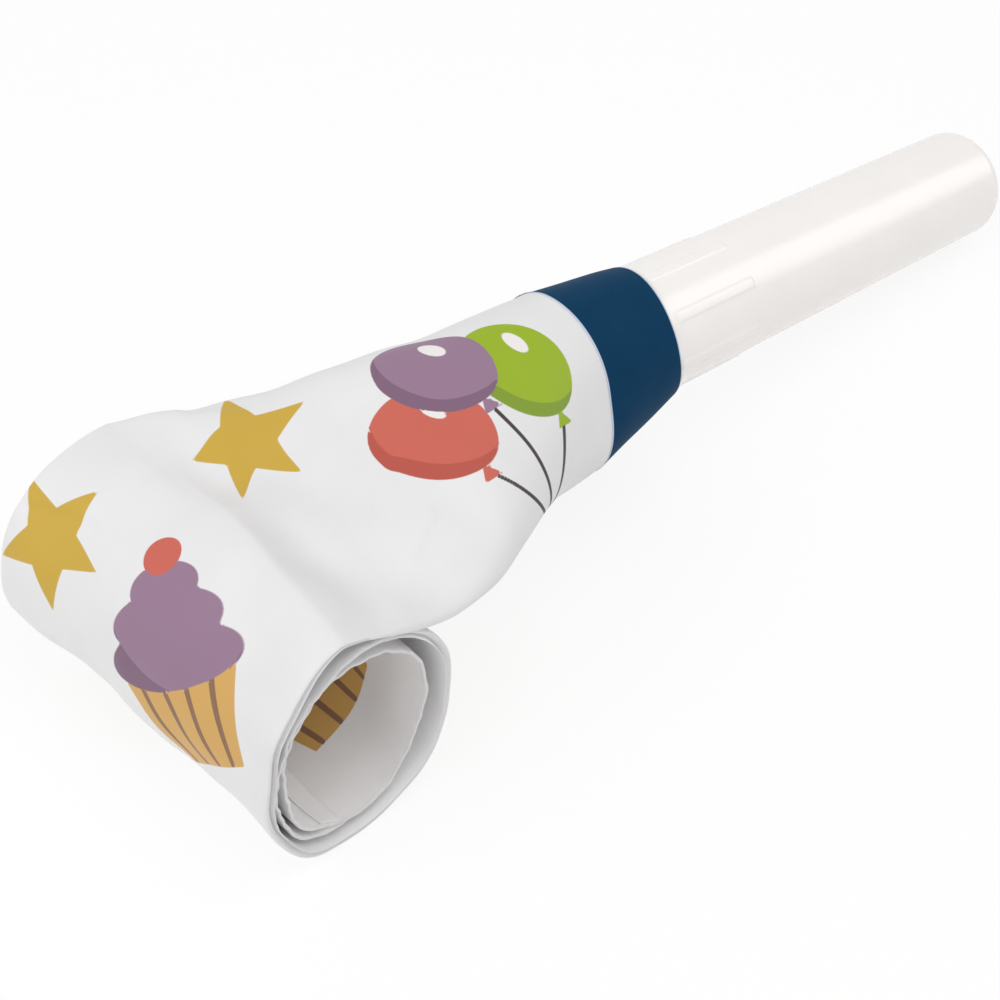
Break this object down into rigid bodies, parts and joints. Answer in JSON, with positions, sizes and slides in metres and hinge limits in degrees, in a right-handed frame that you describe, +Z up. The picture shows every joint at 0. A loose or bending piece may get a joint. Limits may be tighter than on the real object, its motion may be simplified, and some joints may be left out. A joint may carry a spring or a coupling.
{
  "type": "party horn blower",
  "caption": "Party blower: tapered plastic mouthpiece with a reed, a banded joint and a printed paper tube that is rolled up and rolls out when blown.",
  "frame": {"origin": "centre of the bounding box at table height, the horn lying as it rests, on its roll and the tip of the mouthpiece", "axes": "+X towards the mouthpiece's tip, +Y along the axis of the roll, +Z up"},
  "size_m": [0.136, 0.043, 0.0306],
  "materials": {
    "moulded_plastic": "warm white moulded plastic, glossy",
    "band_paper": "dark blue paper, faint sheen",
    "printed_paper": "white paper printed with party motifs",
    "reed_plastic": "plain moulded plastic",
    "reed_film": "thin stiff plastic film",
    "recoil_plastic": "thin plastic strip set in a coil",
    "seal_tape": "white gummed paper tape"
  },
  "bodies": {
    "horn": {"mouthpiece": "moulded_plastic", "neck_band": "band_paper", "paper_neck": "printed_paper", "reed_shell": "reed_plastic", "reed_wedge": "reed_plastic", "coil_00": "recoil_plastic"},
    "reed": {"reed_tongue": "reed_film"},
    "roll_01": {"tongue_01": "printed_paper", "coil_01": "recoil_plastic"},
    "roll_02": {"tongue_02": "printed_paper", "coil_02": "recoil_plastic"},
    "roll_03": {"tongue_03": "printed_paper", "coil_03": "recoil_plastic"},
    "roll_04": {"tongue_04": "printed_paper", "coil_04": "recoil_plastic"},
    "roll_05": {"tongue_05": "printed_paper", "coil_05": "recoil_plastic"},
    "roll_06": {"tongue_06": "printed_paper", "coil_06": "recoil_plastic"},
    "roll_07": {"tongue_07": "printed_paper", "coil_07": "recoil_plastic"},
    "roll_08": {"tongue_08": "printed_paper", "coil_08": "recoil_plastic"},
    "roll_09": {"tongue_09": "printed_paper", "coil_09": "recoil_plastic"},
    "roll_10": {"tongue_10": "printed_paper", "coil_10": "recoil_plastic"},
    "roll_11": {"tongue_11": "printed_paper", "coil_11": "recoil_plastic"},
    "roll_12": {"tongue_12": "printed_paper", "coil_12": "recoil_plastic"},
    "roll_13": {"tongue_13": "printed_paper", "coil_13": "recoil_plastic"},
    "roll_14": {"tongue_14": "printed_paper", "coil_14": "recoil_plastic"},
    "roll_15": {"tongue_15": "printed_paper", "coil_15": "recoil_plastic"},
    "roll_16": {"tongue_16": "printed_paper", "coil_16": "recoil_plastic"},
    "roll_17": {"tongue_17": "printed_paper", "coil_17": "recoil_plastic"},
    "roll_18": {"tongue_18": "printed_paper", "coil_18": "recoil_plastic"},
    "roll_19": {"tongue_19": "printed_paper", "coil_19": "recoil_plastic"},
    "roll_20": {"tongue_20": "printed_paper", "coil_20": "recoil_plastic", "end_seal": "seal_tape"}
  },
  "joints": [
    {"name": "unroll_01", "type": "hinge", "parent": "horn", "child": "roll_01", "pos_m": [-0.05207, 0, 0.02623], "axis": [0, 1, 0], "range_deg": [0, 22.5], "stiffness_Nm_per_rad": 0.01, "springref_deg": -34.38},
    {"name": "unroll_02", "type": "hinge", "parent": "roll_01", "child": "roll_02", "pos_m": [-0.06201, 0, 0.02405], "axis": [0, 1, 0], "range_deg": [0, 45]},
    {"name": "unroll_03", "type": "hinge", "parent": "roll_02", "child": "roll_03", "pos_m": [-0.06744, 0, 0.01557], "axis": [0, 1, 0], "range_deg": [0, 45]},
    {"name": "unroll_04", "type": "hinge", "parent": "roll_03", "child": "roll_04", "pos_m": [-0.0653, 0, 0.00585], "axis": [0, 1, 0], "range_deg": [0, 45]},
    {"name": "unroll_05", "type": "hinge", "parent": "roll_04", "child": "roll_05", "pos_m": [-0.05701, 0, 0.00054], "axis": [0, 1, 0], "range_deg": [0, 45]},
    {"name": "unroll_06", "type": "hinge", "parent": "roll_05", "child": "roll_06", "pos_m": [-0.04752, 0, 0.00263], "axis": [0, 1, 0], "range_deg": [0, 45]},
    {"name": "unroll_07", "type": "hinge", "parent": "roll_06", "child": "roll_07", "pos_m": [-0.04234, 0, 0.01073], "axis": [0, 1, 0], "range_deg": [0, 45]},
    {"name": "unroll_08", "type": "hinge", "parent": "roll_07", "child": "roll_08", "pos_m": [-0.04438, 0, 0.02], "axis": [0, 1, 0], "range_deg": [0, 45]},
    {"name": "unroll_09", "type": "hinge", "parent": "roll_08", "child": "roll_09", "pos_m": [-0.05228, 0, 0.02505], "axis": [0, 1, 0], "range_deg": [0, 45]},
    {"name": "unroll_10", "type": "hinge", "parent": "roll_09", "child": "roll_10", "pos_m": [-0.06133, 0, 0.02306], "axis": [0, 1, 0], "range_deg": [0, 45]},
    {"name": "unroll_11", "type": "hinge", "parent": "roll_10", "child": "roll_11", "pos_m": [-0.06626, 0, 0.01536], "axis": [0, 1, 0], "range_deg": [0, 45]},
    {"name": "unroll_12", "type": "hinge", "parent": "roll_11", "child": "roll_12", "pos_m": [-0.06432, 0, 0.00653], "axis": [0, 1, 0], "range_deg": [0, 45]},
    {"name": "unroll_13", "type": "hinge", "parent": "roll_12", "child": "roll_13", "pos_m": [-0.0568, 0, 0.00173], "axis": [0, 1, 0], "range_deg": [0, 45]},
    {"name": "unroll_14", "type": "hinge", "parent": "roll_13", "child": "roll_14", "pos_m": [-0.0482, 0, 0.00362], "axis": [0, 1, 0], "range_deg": [0, 45]},
    {"name": "unroll_15", "type": "hinge", "parent": "roll_14", "child": "roll_15", "pos_m": [-0.04352, 0, 0.01094], "axis": [0, 1, 0], "range_deg": [0, 45]},
    {"name": "unroll_16", "type": "hinge", "parent": "roll_15", "child": "roll_16", "pos_m": [-0.04536, 0, 0.01931], "axis": [0, 1, 0], "range_deg": [0, 45]},
    {"name": "unroll_17", "type": "hinge", "parent": "roll_16", "child": "roll_17", "pos_m": [-0.05249, 0, 0.02387], "axis": [0, 1, 0], "range_deg": [0, 45]},
    {"name": "unroll_18", "type": "hinge", "parent": "roll_17", "child": "roll_18", "pos_m": [-0.06064, 0, 0.02208], "axis": [0, 1, 0], "range_deg": [0, 45]},
    {"name": "unroll_19", "type": "hinge", "parent": "roll_18", "child": "roll_19", "pos_m": [-0.06508, 0, 0.01515], "axis": [0, 1, 0], "range_deg": [0, 45]},
    {"name": "unroll_20", "type": "hinge", "parent": "roll_19", "child": "roll_20", "pos_m": [-0.06333, 0, 0.00722], "axis": [0, 1, 0], "range_deg": [0, 45]},
    {"name": "reed_swing", "type": "hinge", "parent": "horn", "child": "reed", "pos_m": [0.00211, 0, 0.01846], "axis": [0, 1, 0], "range_deg": [-1, 2.7], "stiffness_Nm_per_rad": 0.001}
  ],
  "couplings": [
    {"joint": "unroll_02", "follows": "unroll_01", "ratio": 2},
    {"joint": "unroll_03", "follows": "unroll_01", "ratio": 2},
    {"joint": "unroll_04", "follows": "unroll_01", "ratio": 2},
    {"joint": "unroll_05", "follows": "unroll_01", "ratio": 2},
    {"joint": "unroll_06", "follows": "unroll_01", "ratio": 2},
    {"joint": "unroll_07", "follows": "unroll_01", "ratio": 2},
    {"joint": "unroll_08", "follows": "unroll_01", "ratio": 2},
    {"joint": "unroll_09", "follows": "unroll_01", "ratio": 2},
    {"joint": "unroll_10", "follows": "unroll_01", "ratio": 2},
    {"joint": "unroll_11", "follows": "unroll_01", "ratio": 2},
    {"joint": "unroll_12", "follows": "unroll_01", "ratio": 2},
    {"joint": "unroll_13", "follows": "unroll_01", "ratio": 2},
    {"joint": "unroll_14", "follows": "unroll_01", "ratio": 2},
    {"joint": "unroll_15", "follows": "unroll_01", "ratio": 2},
    {"joint": "unroll_16", "follows": "unroll_01", "ratio": 2},
    {"joint": "unroll_17", "follows": "unroll_01", "ratio": 2},
    {"joint": "unroll_18", "follows": "unroll_01", "ratio": 2},
    {"joint": "unroll_19", "follows": "unroll_01", "ratio": 2},
    {"joint": "unroll_20", "follows": "unroll_01", "ratio": 2}
  ]
}
